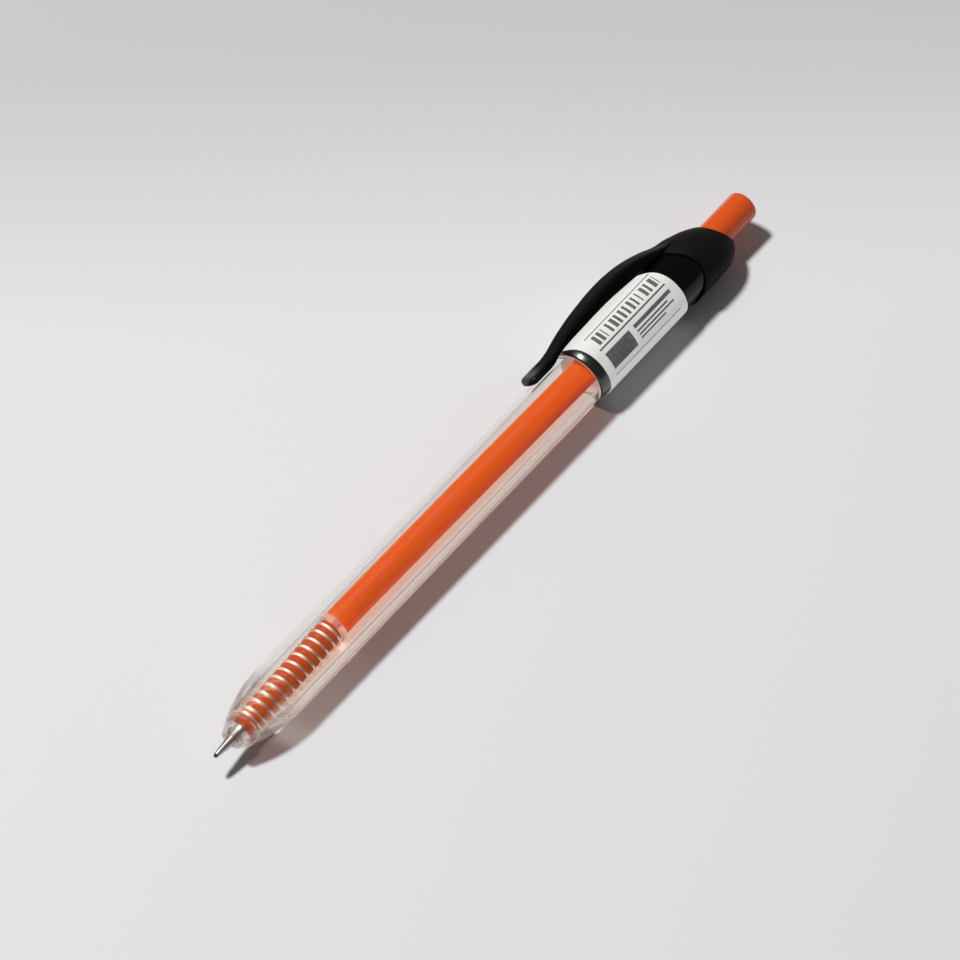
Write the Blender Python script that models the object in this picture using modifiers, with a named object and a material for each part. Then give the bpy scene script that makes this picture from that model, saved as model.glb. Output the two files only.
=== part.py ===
"""Retractable gel pen with a clear barrel, a collar clip and a click mechanism.

Metres, +Z up. The pen lies along +X with its writing end at -X, in its writing position. Each piece is
modelled about the pen's own axis, from the ball at station 0 to the button, with the clip arm on the
piece's +X side. One empty lays the whole pen down with the clip leaning over.
"""

import math

import bmesh
import bpy
from mathutils import Matrix, Vector

# Facets round the axis, fewer where the pen lies on them, and the clearances between pieces
SIDES = 48
SMALL_SIDES = 24
RESTING_SIDES = 32
FACE_GAP = 0.00025
SEAT_GAP = 0.0003
SLIP_GAP = 0.00008
RUNNING_GAP = 0.00018

# How the pen lies: the clip leans this far from straight up
CLIP_LEAN = math.radians(43.0)

# Travel of the refill from its writing position, and the rotor's turn over the way back
RETRACT = 0.0052
OVERTRAVEL = 0.0010
INDEX_TURN = math.radians(45.0)

# Writing point
BALL_RADIUS = 0.00038
LIP_RADIUS = 0.00045
LIP_STATION = 0.00055
CUP_DEPTH = 0.00036
CONE_LENGTH = 0.0062
POINT_RADIUS = 0.00120
POINT_SHANK_RADIUS = 0.00095
POINT_SHANK_LENGTH = 0.0042

# Holder, spring and refill tube
HOLDER_SETBACK = 0.0031
HOLDER_NOSE_RADIUS = 0.00175
HOLDER_NOSE_LENGTH = 0.0016
HOLDER_RADIUS = 0.00205
HOLDER_LENGTH = 0.02325
FLANGE_LENGTH = 0.0010
FLANGE_STEP = 0.00015
PLUG_LENGTH = 0.0035
INK_CHANNEL_RADIUS = 0.0005
SPRING_WIRE = 0.00040
SPRING_PLAY = 0.00014
SPRING_TURNS = 13
SPRING_END_PITCH = 0.00095
SPRING_SEAT_OFFSET = 0.00035
CURL_POINTS = 10
TUBE_RADIUS = 0.00240
TUBE_WALL = 0.00042
FOLLOWER_LENGTH = 0.0040
AIR_LENGTH = 0.0045

# Clear barrel
TIP_EXPOSED = 0.00435
NOSE_RADIUS = 0.00185
NOSE_HOLE_PLAY = 0.00022
NOSE_LENGTH = 0.0124
NOSE_EDGE = 0.00015
BARREL_LENGTH = 0.0920
BORE_PLAY = 0.0013
BARREL_WALL = 0.0013
BORE_TAPER_LENGTH = 0.0042
CHAMBER_LENGTH = 0.0052
CHAMBER_PLAY = 0.00036
TENON_STEP = 0.00055
TENON_LENGTH = 0.0096

# Upper barrel and its wrap label
UPPER_STEP = 0.00035
UPPER_LENGTH = 0.0313
UPPER_CHAMFER = 0.00018
NECK_PLAY = 0.0013
REAR_TENON_LENGTH = 0.0021
REAR_TENON_WALL = 0.00035
LABEL_OFFSET = 0.0019
LABEL_LENGTH = 0.0212
LABEL_THICKNESS = 0.0001
LABEL_GAP = 0.00005

# Click mechanism
STEM_RADIUS = 0.00250
RIB_HEIGHT = 0.00085
SLEEVE_WALL = 0.00062
CAM_RIBS = 4
RIB_HALF_STEPS = 3
FIN_HALF_STEPS = 1
RIB_REACH = 0.0088
RIB_SETBACK = 0.0032
SLEEVE_LEAD = 0.00045
ROTOR_STUB_LENGTH = 0.0018
ROTOR_NOSE_LENGTH = 0.0028
FIN_LENGTH = 0.0035
FIN_TO_CROWN = 0.0021
CROWN_TEETH = 8
CROWN_HEIGHT = 0.0008
CROWN_CORE_RADIUS = 0.0014
CROWN_CORE_DEPTH = 0.0012
GUIDE_FROM_CROWN = 0.0012
CAP_STEP = 0.0003
CAP_FROM_RIBS = 0.0002
BUTTON_STANDOUT = 0.01485
BUTTON_EDGE = 0.0009

# Clip collar
COLLAR_STEP = 0.00035
COLLAR_LAP = 0.0059
COLLAR_STRAIGHT = 0.0042
COLLAR_DOME_LENGTH = 0.0080
COLLAR_DOME_POWER = 2.65
COLLAR_RIM = 0.00035
COLLAR_SLANT = 0.52
SLANT_RUN_IN = 0.55
ARCH_RADIUS = 0.0070
ARCH_APEX = 0.0033

# Clip arm, from its root in the collar to its ball: distance from the tip, underside over the upper barrel,
# thickness and width
ARM_TIP_FROM_COLLAR = 0.0347
ARM_PROFILE = (
    (0.0400, -0.00045, 0.00040, 0.0030),
    (0.0389, 0.00011, 0.00010, 0.0030),
    (0.0367, 0.00011, 0.00050, 0.0038),
    (0.0335, 0.00021, 0.00160, 0.0045),
    (0.0295, 0.00037, 0.00254, 0.0048),
    (0.0255, 0.00068, 0.00277, 0.0048),
    (0.0217, 0.00095, 0.00255, 0.0047),
    (0.0179, 0.00097, 0.00228, 0.0045),
    (0.0141, 0.00085, 0.00203, 0.0040),
    (0.0104, 0.00072, 0.00150, 0.0036),
    (0.0079, 0.00045, 0.00110, 0.0035),
    (0.0059, -0.00010, 0.00138, 0.0036),
    (0.0037, -0.00015, 0.00140, 0.0038),
    (0.0014, -0.00013, 0.00138, 0.0039),
)
ARM_STEPS = 3
ARM_SIDES = 16
ARM_CORNER = 0.45
ARM_TIP_SHARE = 0.4

# Stations along the axis, from the ball
NOSE_STATION = TIP_EXPOSED
HOLDER_STATION = NOSE_STATION + HOLDER_SETBACK
POCKET_STATION = HOLDER_STATION - OVERTRAVEL - FACE_GAP
SPRING_SEAT_STATION = HOLDER_STATION + SPRING_SEAT_OFFSET
FLANGE_STATION = HOLDER_STATION + HOLDER_LENGTH
BARREL_END_STATION = NOSE_STATION + BARREL_LENGTH
UPPER_STATION = BARREL_END_STATION + FACE_GAP
SOCKET_STATION = BARREL_END_STATION + TENON_LENGTH + FACE_GAP
UPPER_END_STATION = UPPER_STATION + UPPER_LENGTH
REAR_TENON_STATION = UPPER_END_STATION - REAR_TENON_LENGTH
COLLAR_STATION = UPPER_END_STATION - COLLAR_LAP
COLLAR_WALL_STATION = UPPER_END_STATION + FACE_GAP
DOME_STATION = COLLAR_STATION + COLLAR_STRAIGHT
DOME_END_STATION = DOME_STATION + COLLAR_DOME_LENGTH
RIB_END_STATION = UPPER_END_STATION - RIB_SETBACK
RIB_STATION = RIB_END_STATION - RIB_REACH
FIN_BACK_STATION = RIB_STATION - RUNNING_GAP
FIN_STATION = FIN_BACK_STATION - FIN_LENGTH
SLEEVE_STATION = FIN_STATION - OVERTRAVEL - SLEEVE_LEAD
SLEEVE_BORE_STATION = SLEEVE_STATION - FACE_GAP
ROTOR_STATION = FIN_STATION - ROTOR_NOSE_LENGTH
TUBE_STATION = FLANGE_STATION + FLANGE_LENGTH + FACE_GAP
TUBE_END_STATION = ROTOR_STATION - FACE_GAP
PLUG_END_STATION = FLANGE_STATION + FLANGE_LENGTH + PLUG_LENGTH
FOLLOWER_STATION = TUBE_END_STATION - ROTOR_STUB_LENGTH - AIR_LENGTH - FOLLOWER_LENGTH
INK_STATION = PLUG_END_STATION + FACE_GAP
INK_END_STATION = FOLLOWER_STATION - FACE_GAP
ROTOR_CROWN_STATION = FIN_BACK_STATION + FIN_TO_CROWN
STEM_CROWN_STATION = ROTOR_CROWN_STATION + FACE_GAP
GUIDE_STATION = STEM_CROWN_STATION + GUIDE_FROM_CROWN
GUIDE_END_STATION = COLLAR_WALL_STATION - RETRACT - FACE_GAP
CAP_STATION = RIB_END_STATION + OVERTRAVEL + CAP_FROM_RIBS
BUTTON_END_STATION = COLLAR_WALL_STATION + BUTTON_STANDOUT

# Radii, from the refill outwards
NOSE_HOLE_RADIUS = POINT_RADIUS + NOSE_HOLE_PLAY
POCKET_RADIUS = HOLDER_NOSE_RADIUS + RUNNING_GAP
SPRING_RADIUS = HOLDER_RADIUS + SPRING_PLAY + SPRING_WIRE / 2
CHAMBER_RADIUS = SPRING_RADIUS + SPRING_WIRE / 2 + CHAMBER_PLAY
TUBE_BORE = TUBE_RADIUS - TUBE_WALL
BORE_RADIUS = TUBE_RADIUS + BORE_PLAY
BARREL_RADIUS = BORE_RADIUS + BARREL_WALL
TENON_RADIUS = BARREL_RADIUS - TENON_STEP
SOCKET_RADIUS = TENON_RADIUS + SLIP_GAP
UPPER_RADIUS = BARREL_RADIUS + UPPER_STEP
RIB_RADIUS = STEM_RADIUS + RUNNING_GAP
GROOVE_RADIUS = RIB_RADIUS + RIB_HEIGHT
FIN_RADIUS = GROOVE_RADIUS - RUNNING_GAP
SLEEVE_RADIUS = GROOVE_RADIUS + SLEEVE_WALL
SLEEVE_BORE = SLEEVE_RADIUS + SLIP_GAP
NECK_RADIUS = TUBE_RADIUS + NECK_PLAY
REAR_TENON_RADIUS = SLEEVE_BORE + REAR_TENON_WALL
CAP_RADIUS = STEM_RADIUS + CAP_STEP
CAP_HOLE_RADIUS = CAP_RADIUS + RUNNING_GAP
COLLAR_RADIUS = UPPER_RADIUS + COLLAR_STEP
LABEL_BORE = UPPER_RADIUS + LABEL_GAP
LABEL_RADIUS = LABEL_BORE + LABEL_THICKNESS

# Angles: one facet step, and the slope of the cam
FACET_STEP = 2 * math.pi / SIDES
RIB_SPACING = 2 * math.pi / CAM_RIBS
RAMP = RETRACT / INDEX_TURN


def phase(sides):
    """The turn that puts a flat facet at the bottom of the pen."""
    return CLIP_LEAN + math.pi - math.pi / sides


def clear_scene():
    """Start from nothing, whatever the open file holds."""
    for old in list(bpy.data.objects):
        bpy.data.objects.remove(old)


def collection(name):
    made = bpy.data.collections.new(name)
    bpy.context.scene.collection.children.link(made)
    return made


def finish(name, colour, roughness, metallic=0.0, alpha=1.0):
    """A Principled material with one colour all over."""
    made = bpy.data.materials.new(name)
    made.use_nodes = True
    shader = made.node_tree.nodes["Principled BSDF"]
    shader.inputs["Base Color"].default_value = (*colour, 1.0)
    shader.inputs["Roughness"].default_value = roughness
    shader.inputs["Metallic"].default_value = metallic
    shader.inputs["Alpha"].default_value = alpha
    return made


def place(name, data, material, home, parent):
    """A named piece on the pen's axis, with its own finish."""
    made = bpy.data.objects.new(name, data)
    data.materials.append(material)
    home.objects.link(made)
    made.parent = parent
    return made


def helper(name, mesh, home, parent):
    """A cutter or a shape to join, which is no piece of the pen."""
    made = bpy.data.objects.new(name, mesh)
    home.objects.link(made)
    made.parent = parent
    made.hide_render = True
    made.display_type = "WIRE"
    return made


def turned(name, outline, material, home, parent, sides=SIDES, ring=True):
    """Revolve an outline of (radius, station) points that runs down its outer side.

    A ring's outline is closed. Without ring it starts and ends on the axis.
    """
    mesh = bpy.data.meshes.new(name)
    points = [(radius, 0.0, station) for radius, station in outline]
    edges = [(i, i + 1) for i in range(len(points) - 1)]
    if ring:
        edges.append((len(points) - 1, 0))
    mesh.from_pydata(points, edges, [])
    made = place(name, mesh, material, home, parent)
    made.rotation_euler.z = phase(sides)
    screw = made.modifiers.new("Turn", "SCREW")
    screw.steps = screw.render_steps = sides
    screw.use_merge_vertices = True
    screw.merge_threshold = 1e-7
    return made


def skinned(name, sections, loop):
    """A mesh skinned over closed sections, round in a loop or with both ends capped."""
    mesh = bpy.data.meshes.new(name)
    bm = bmesh.new()
    rows = [[bm.verts.new(point) for point in section] for section in sections]
    pairs = list(zip(rows, rows[1:]))
    if loop:
        pairs.append((rows[-1], rows[0]))
    for here, there in pairs:
        count = len(here)
        for i in range(count):
            j = (i + 1) % count
            bm.faces.new((here[i], here[j], there[j], there[i]))
    if not loop:
        bm.faces.new(rows[0])
        bm.faces.new(rows[-1])
    bmesh.ops.remove_doubles(bm, verts=bm.verts, dist=1e-7)
    bmesh.ops.recalc_face_normals(bm, faces=bm.faces)
    bm.to_mesh(mesh)
    bm.free()
    mesh.shade_smooth()
    mesh.set_sharp_from_angle(angle=math.radians(35))
    return mesh


def on_axis(radius, station, angle, sides=SIDES):
    """A point at this radius and station, turned round the pen's axis."""
    turn = angle + phase(sides)
    return Vector((radius * math.cos(turn), radius * math.sin(turn), station))


def arc(centre, radius_span, station_span, start, end, count):
    """(radius, station) points on a quarter-ellipse about centre, from one angle to another."""
    points = []
    for i in range(count + 1):
        angle = math.radians(start + (end - start) * i / count)
        radius = centre[0] + radius_span * math.cos(angle)
        points.append((radius, centre[1] + station_span * math.sin(angle)))
    return points


def triangle_wave(angle, teeth):
    """From 0 at each tooth's tip to 1 in the valley between two teeth."""
    share = (angle * teeth / (2 * math.pi)) % 1.0
    return 1.0 - abs(2.0 * share - 1.0)


def build_point(home, parent):
    """The ball, and the turned point whose cup holds it."""
    steel = finish("tungsten_carbide", (0.45, 0.45, 0.46), 0.2, 1.0)
    silver = finish("nickel_silver", (0.62, 0.60, 0.56), 0.25, 1.0)
    mesh = bpy.data.meshes.new("tip_ball")
    bm = bmesh.new()
    bmesh.ops.create_uvsphere(bm, u_segments=16, v_segments=10, radius=BALL_RADIUS)
    bm.to_mesh(mesh)
    bm.free()
    mesh.shade_smooth()
    ball = place("tip_ball", mesh, steel, home, parent)
    ball.location.z = BALL_RADIUS
    cup_floor = LIP_STATION + CUP_DEPTH
    cone_end = LIP_STATION + CONE_LENGTH
    shank_end = HOLDER_STATION + POINT_SHANK_LENGTH
    rim = LIP_RADIUS - SLIP_GAP / 2
    outline = [
        (0.0, shank_end),
        (POINT_SHANK_RADIUS, shank_end),
        (POINT_SHANK_RADIUS, HOLDER_STATION - FACE_GAP),
        (POINT_RADIUS, HOLDER_STATION - FACE_GAP),
        (POINT_RADIUS, cone_end),
        (LIP_RADIUS, LIP_STATION),
        (rim, LIP_STATION),
        (0.0, cup_floor),
    ]
    turned("tip_cone", outline, silver, home, parent, SMALL_SIDES, ring=False)


def build_holder(home, parent):
    """The moulded holder: nose, body, the flange that the spring pushes on, and the plug in the tube."""
    moulding = finish("amber_polypropylene", (0.62, 0.20, 0.07), 0.35)
    socket = POINT_SHANK_RADIUS + SLIP_GAP
    socket_end = HOLDER_STATION + POINT_SHANK_LENGTH + FACE_GAP
    nose_end = HOLDER_STATION + HOLDER_NOSE_LENGTH
    flange_end = FLANGE_STATION + FLANGE_LENGTH
    plug = TUBE_BORE - SLIP_GAP
    outline = [
        (plug, PLUG_END_STATION),
        (plug, flange_end),
        (TUBE_RADIUS + FLANGE_STEP, flange_end),
        (TUBE_RADIUS + FLANGE_STEP, FLANGE_STATION),
        (HOLDER_RADIUS, FLANGE_STATION),
        (HOLDER_RADIUS, nose_end + HOLDER_RADIUS - HOLDER_NOSE_RADIUS),
        (HOLDER_NOSE_RADIUS, nose_end),
        (HOLDER_NOSE_RADIUS, HOLDER_STATION),
        (socket, HOLDER_STATION),
        (socket, socket_end),
        (INK_CHANNEL_RADIUS, socket_end),
        (INK_CHANNEL_RADIUS, PLUG_END_STATION),
    ]
    turned("tip_holder", outline, moulding, home, parent, SMALL_SIDES)


def build_ink(home, parent):
    """The refill tube, the gel in it and the grease plug that follows the gel."""
    tube = finish("refill_tube", (0.80, 0.25, 0.08), 0.25)
    gel = finish("orange_gel_ink", (0.85, 0.22, 0.05), 0.3)
    grease = finish("clear_grease", (0.85, 0.82, 0.70), 0.2, alpha=0.6)
    outline = [
        (TUBE_RADIUS, TUBE_END_STATION),
        (TUBE_RADIUS, TUBE_STATION),
        (TUBE_BORE, TUBE_STATION),
        (TUBE_BORE, TUBE_END_STATION),
    ]
    turned("ink_tube", outline, tube, home, parent)
    fill = TUBE_BORE - SLIP_GAP
    for name, material, start, end in (
        ("ink_column", gel, INK_STATION, INK_END_STATION),
        ("ink_follower", grease, FOLLOWER_STATION, FOLLOWER_STATION + FOLLOWER_LENGTH),
    ):
        plug = [(0.0, end), (fill, end), (fill, start), (0.0, start)]
        turned(name, plug, material, home, parent, SMALL_SIDES, ring=False)


def spring_points():
    """The wire's centre line: close end curls, even curls between, and a straight end each way."""
    first = SPRING_SEAT_STATION + SEAT_GAP + SPRING_WIRE / 2
    last = FLANGE_STATION - SEAT_GAP - SPRING_WIRE / 2
    pitch = (last - first - 2 * SPRING_END_PITCH) / (SPRING_TURNS - 2)
    points = []
    for i in range(SPRING_TURNS * CURL_POINTS + 1):
        turns = i / CURL_POINTS
        station = first + min(turns, 1.0) * SPRING_END_PITCH
        station += min(max(turns - 1.0, 0.0), SPRING_TURNS - 2) * pitch
        station += max(turns - (SPRING_TURNS - 1), 0.0) * SPRING_END_PITCH
        angle = 2 * math.pi * turns
        points.append(Vector((SPRING_RADIUS * math.cos(angle), SPRING_RADIUS * math.sin(angle), station)))
    start_run = (points[0] - points[1]).normalized() * SPRING_WIRE
    end_run = (points[-1] - points[-2]).normalized() * SPRING_WIRE
    start_run.z = end_run.z = 0.0
    return [points[0] + start_run, *points, points[-1] + end_run]


def least_gap(points, wire):
    """The least clear distance between one curl and the curls after it."""
    least = math.inf
    for i, here in enumerate(points):
        for there in points[i + CURL_POINTS // 2 :]:
            least = min(least, (here - there).length - wire)
    return least


def build_spring(home, parent):
    """The return spring: one round wire wound in a helix."""
    wire = finish("spring_steel", (0.75, 0.73, 0.70), 0.2, 1.0)
    points = spring_points()
    print(f"return_spring: least gap to itself {1000 * least_gap(points, SPRING_WIRE):.2f} mm")
    curve = bpy.data.curves.new("return_spring", "CURVE")
    curve.dimensions = "3D"
    curve.bevel_depth = SPRING_WIRE / 2
    curve.bevel_resolution = 1
    curve.use_fill_caps = True
    spline = curve.splines.new("POLY")
    spline.points.add(len(points) - 1)
    for spot, point in zip(spline.points, points):
        spot.co = (*point, 1.0)
    place("return_spring", curve, wire, home, parent)


def build_clear_barrel(home, parent):
    """The clear barrel: ogive nose, stepped bore for point, holder and spring, and a tenon at the back."""
    clear = finish("clear_polystyrene", (0.92, 0.93, 0.93), 0.08, alpha=0.3)
    rise = BARREL_RADIUS - NOSE_RADIUS
    sweep = (NOSE_LENGTH**2 + rise**2) / (2 * rise)
    angle = math.degrees(math.asin(NOSE_LENGTH / sweep))
    nose = arc((BARREL_RADIUS - sweep, NOSE_STATION + NOSE_LENGTH), sweep, sweep, 0.0, -angle, 8)
    chamber_end = SPRING_SEAT_STATION + CHAMBER_LENGTH
    tenon_end = BARREL_END_STATION + TENON_LENGTH
    outline = [
        (TENON_RADIUS, tenon_end),
        (TENON_RADIUS, BARREL_END_STATION),
        (BARREL_RADIUS, BARREL_END_STATION),
        *nose,
        (NOSE_RADIUS - NOSE_EDGE, NOSE_STATION - NOSE_EDGE),
        (NOSE_HOLE_RADIUS, NOSE_STATION - NOSE_EDGE),
        (NOSE_HOLE_RADIUS, POCKET_STATION),
        (POCKET_RADIUS, POCKET_STATION),
        (POCKET_RADIUS, SPRING_SEAT_STATION),
        (CHAMBER_RADIUS, SPRING_SEAT_STATION),
        (CHAMBER_RADIUS, chamber_end),
        (BORE_RADIUS, chamber_end + BORE_TAPER_LENGTH),
        (BORE_RADIUS, tenon_end),
    ]
    turned("clear_barrel", outline, clear, home, parent, RESTING_SIDES)


def build_upper_barrel(home, parent):
    """The dark upper barrel: socket for the clear tenon, neck, cam bore and a tenon for the collar."""
    black = finish("black_polycarbonate", (0.012, 0.012, 0.011), 0.2)
    outline = [
        (REAR_TENON_RADIUS, UPPER_END_STATION),
        (REAR_TENON_RADIUS, REAR_TENON_STATION),
        (UPPER_RADIUS, REAR_TENON_STATION),
        (UPPER_RADIUS, UPPER_STATION + UPPER_CHAMFER),
        (UPPER_RADIUS - UPPER_CHAMFER, UPPER_STATION),
        (SOCKET_RADIUS, UPPER_STATION),
        (SOCKET_RADIUS, SOCKET_STATION),
        (NECK_RADIUS, SOCKET_STATION),
        (NECK_RADIUS, SLEEVE_BORE_STATION),
        (SLEEVE_BORE, SLEEVE_BORE_STATION),
        (SLEEVE_BORE, UPPER_END_STATION),
    ]
    turned("upper_barrel", outline, black, home, parent)


def build_label(home, parent):
    """The thin wrap round the upper barrel."""
    paper = finish("white_label_film", (0.84, 0.84, 0.82), 0.5)
    start = UPPER_STATION + LABEL_OFFSET
    end = start + LABEL_LENGTH
    outline = [(LABEL_RADIUS, end), (LABEL_RADIUS, start), (LABEL_BORE, start), (LABEL_BORE, end)]
    turned("label", outline, paper, home, parent)


def cam_sections(half_steps, offset, section):
    """Sections all round the axis, with raised stretches centred every rib spacing from offset.

    Each raised stretch is half_steps facets wide on both sides of its centre. Its flanks are two sections at
    one angle, so that they stand square. A section is given its angle, its lead over the stretch's centre, which
    runs back to the next stretch in between, and whether it is raised.
    """
    sections = []
    half = half_steps * FACET_STEP
    steps = round(RIB_SPACING / FACET_STEP)
    for rib in range(CAM_RIBS):
        centre = rib * RIB_SPACING + offset
        for step in range(-half_steps, steps - half_steps):
            across = step * FACET_STEP
            lead = across
            if step > half_steps:
                lead = half - (across - half) * 2 * half / (RIB_SPACING - 2 * half)
            if step == -half_steps:
                sections.append(section(centre + across, lead, False))
            sections.append(section(centre + across, lead, step <= half_steps))
            if step == half_steps:
                sections.append(section(centre + across, lead, False))
    return sections


def build_cam_sleeve(home, parent):
    """The fixed cam: a sleeve whose ribs end in slanted faces towards the rotor's fins."""
    moulding = finish("natural_acetal", (0.72, 0.72, 0.70), 0.4)

    def section(angle, lead, raised):
        ramp = RIB_STATION + RAMP * lead
        inner = RIB_RADIUS if raised else GROOVE_RADIUS
        outline = [
            (SLEEVE_RADIUS, SLEEVE_STATION),
            (SLEEVE_RADIUS, UPPER_END_STATION),
            (GROOVE_RADIUS, UPPER_END_STATION),
            (GROOVE_RADIUS, RIB_END_STATION),
            (inner, RIB_END_STATION),
            (inner, ramp),
            (GROOVE_RADIUS, ramp),
            (GROOVE_RADIUS, SLEEVE_STATION),
        ]
        return [on_axis(radius, station, angle) for radius, station in outline]

    mesh = skinned("cam_sleeve", cam_sections(RIB_HALF_STEPS, 0.0, section), loop=True)
    place("cam_sleeve", mesh, moulding, home, parent)


def build_cam_rotor(home, parent):
    """The turning cam: a stub in the tube's end, fins with slanted backs, and a crown of teeth."""
    moulding = finish("white_acetal", (0.80, 0.80, 0.78), 0.4)
    stub = TUBE_BORE - 2 * RUNNING_GAP
    stub_start = TUBE_END_STATION - ROTOR_STUB_LENGTH
    core_floor = ROTOR_CROWN_STATION - CROWN_CORE_DEPTH

    def section(angle, lead, raised):
        outer = FIN_RADIUS if raised else STEM_RADIUS
        back = FIN_BACK_STATION + RAMP * lead
        tooth = ROTOR_CROWN_STATION - CROWN_HEIGHT * triangle_wave(angle, CROWN_TEETH)
        outline = [
            (0.0, stub_start),
            (stub, stub_start),
            (stub, ROTOR_STATION),
            (STEM_RADIUS, ROTOR_STATION),
            (STEM_RADIUS, FIN_STATION),
            (outer, FIN_STATION),
            (outer, back),
            (STEM_RADIUS, back),
            (STEM_RADIUS, tooth),
            (CROWN_CORE_RADIUS, tooth),
            (CROWN_CORE_RADIUS, core_floor),
            (0.0, core_floor),
        ]
        return [on_axis(radius, station, angle) for radius, station in outline]

    mesh = skinned("cam_rotor", cam_sections(FIN_HALF_STEPS, 0.0, section), loop=True)
    place("cam_rotor", mesh, moulding, home, parent)


def build_button(home, parent):
    """The push button: crown and guide fins on a stem inside, and the rounded cap that shows."""
    orange = finish("orange_abs", (0.78, 0.16, 0.03), 0.2)
    core_floor = STEM_CROWN_STATION + CROWN_CORE_DEPTH
    edge = arc(
        (CAP_RADIUS - BUTTON_EDGE, BUTTON_END_STATION - BUTTON_EDGE), BUTTON_EDGE, BUTTON_EDGE, 0.0, 90.0, 4
    )

    def section(angle, lead, raised):
        outer = FIN_RADIUS if raised else STEM_RADIUS
        tooth = STEM_CROWN_STATION + CROWN_HEIGHT * triangle_wave(angle, CROWN_TEETH)
        outline = [
            (0.0, core_floor),
            (CROWN_CORE_RADIUS, core_floor),
            (CROWN_CORE_RADIUS, tooth),
            (STEM_RADIUS, tooth),
            (STEM_RADIUS, GUIDE_STATION),
            (outer, GUIDE_STATION),
            (outer, GUIDE_END_STATION),
            (STEM_RADIUS, GUIDE_END_STATION),
            (STEM_RADIUS, CAP_STATION),
            (CAP_RADIUS, CAP_STATION),
            *edge,
            (0.0, BUTTON_END_STATION),
        ]
        return [on_axis(radius, station, angle) for radius, station in outline]

    mesh = skinned("push_button", cam_sections(FIN_HALF_STEPS, RIB_SPACING / 2, section), loop=True)
    place("push_button", mesh, orange, home, parent)


def eased(rows, steps):
    """Rows run smoothly through the given rows, with this many steps between two of them."""
    made = []
    last = len(rows) - 1
    for i in range(last):
        before, here, there, after = rows[max(i - 1, 0)], rows[i], rows[i + 1], rows[min(i + 2, last)]
        run = there[0] - here[0]
        for step in range(steps):
            t = step / steps
            row = [here[0] + run * t]
            for k in range(1, len(here)):
                leaving = run * (there[k] - before[k]) / (there[0] - before[0])
                arriving = run * (after[k] - here[k]) / (after[0] - here[0])
                bend = leaving + arriving - 2 * (there[k] - here[k])
                row.append(here[k] + t * (leaving + t * (there[k] - here[k] - leaving - bend * (1 - t))))
            made.append(row)
    return [*made, list(rows[-1])]


def arm_sections():
    """Rounded sections along the arm, from the root through the profile to the ball, which closes to its tip."""
    tip = COLLAR_STATION - ARM_TIP_FROM_COLLAR
    rows = eased([(tip + far, UPPER_RADIUS + lift, thick, wide) for far, lift, thick, wide in ARM_PROFILE], ARM_STEPS)
    ball, low, thick, wide = rows[-1]
    for degrees in (30, 55, 75, 86):
        size = math.cos(math.radians(degrees))
        station = ball - (ball - tip) * math.sin(math.radians(degrees))
        rows.append((station, low + ARM_TIP_SHARE * thick * (1 - size), thick * size, wide * size))
    sections = []
    for station, low, thick, wide in rows:
        section = []
        for i in range(ARM_SIDES):
            angle = 2 * math.pi * (i + 0.5) / ARM_SIDES
            across = math.copysign(abs(math.cos(angle)) ** ARM_CORNER, math.cos(angle))
            along = math.copysign(abs(math.sin(angle)) ** ARM_CORNER, math.sin(angle))
            section.append(Vector((low + thick / 2 * (1 + across), wide / 2 * along, station)))
        sections.append(section)
    return sections


def collar_rings():
    """(radius, station, slant) of the collar's rings, down the outside and back up its stepped bore."""
    rim_radius = CAP_HOLE_RADIUS + COLLAR_RIM
    rings = []
    for share in (1.0, 0.94, 0.86, 0.76, 0.65, SLANT_RUN_IN, 0.4, 0.25, 0.12, 0.0):
        radius = COLLAR_RADIUS - (COLLAR_RADIUS - rim_radius) * share**COLLAR_DOME_POWER
        rings.append((radius, DOME_STATION + COLLAR_DOME_LENGTH * share, min(1.0, share / SLANT_RUN_IN)))
    counterbore = UPPER_RADIUS + SLIP_GAP
    bore = REAR_TENON_RADIUS + SLIP_GAP
    step = REAR_TENON_STATION + FACE_GAP
    rings += [
        (COLLAR_RADIUS, COLLAR_STATION, 0.0),
        (counterbore, COLLAR_STATION, 0.0),
        (counterbore, step, 0.0),
        (bore, step, 0.0),
        (bore, COLLAR_WALL_STATION, 0.0),
        (CAP_HOLE_RADIUS, COLLAR_WALL_STATION, 0.0),
        (CAP_HOLE_RADIUS, DOME_END_STATION, 1.0),
    ]
    return rings


def boolean(target, operation, other):
    cut = target.modifiers.new(other.name, "BOOLEAN")
    cut.operation = operation
    cut.object = other


def build_clip(home, helpers, parent):
    """The clip: a slanted collar with an arched front edge, and the arm that springs from it."""
    black = finish("black_acetal", (0.015, 0.015, 0.014), 0.35)
    sections = []
    for radius, station, slant in collar_rings():
        section = []
        for side in range(RESTING_SIDES):
            point = on_axis(radius, station, side * 2 * math.pi / RESTING_SIDES, RESTING_SIDES)
            point.z -= COLLAR_SLANT * slant * point.x
            section.append(point)
        sections.append(section)
    clip = place("clip", skinned("clip", sections, loop=True), black, home, parent)
    arch = bpy.data.meshes.new("collar_arch")
    bm = bmesh.new()
    bmesh.ops.create_cone(
        bm,
        cap_ends=True,
        segments=SIDES,
        radius1=ARCH_RADIUS,
        radius2=ARCH_RADIUS,
        depth=4 * COLLAR_RADIUS,
        matrix=Matrix.Rotation(math.pi / 2, 4, "X"),
    )
    bm.to_mesh(arch)
    bm.free()
    cutter = helper("collar_arch", arch, helpers, parent)
    cutter.location.z = COLLAR_STATION + ARCH_APEX - ARCH_RADIUS
    boolean(clip, "DIFFERENCE", cutter)
    arm = helper("clip_arm", skinned("clip_arm", arm_sections(), loop=False), helpers, parent)
    boolean(clip, "UNION", arm)


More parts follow.
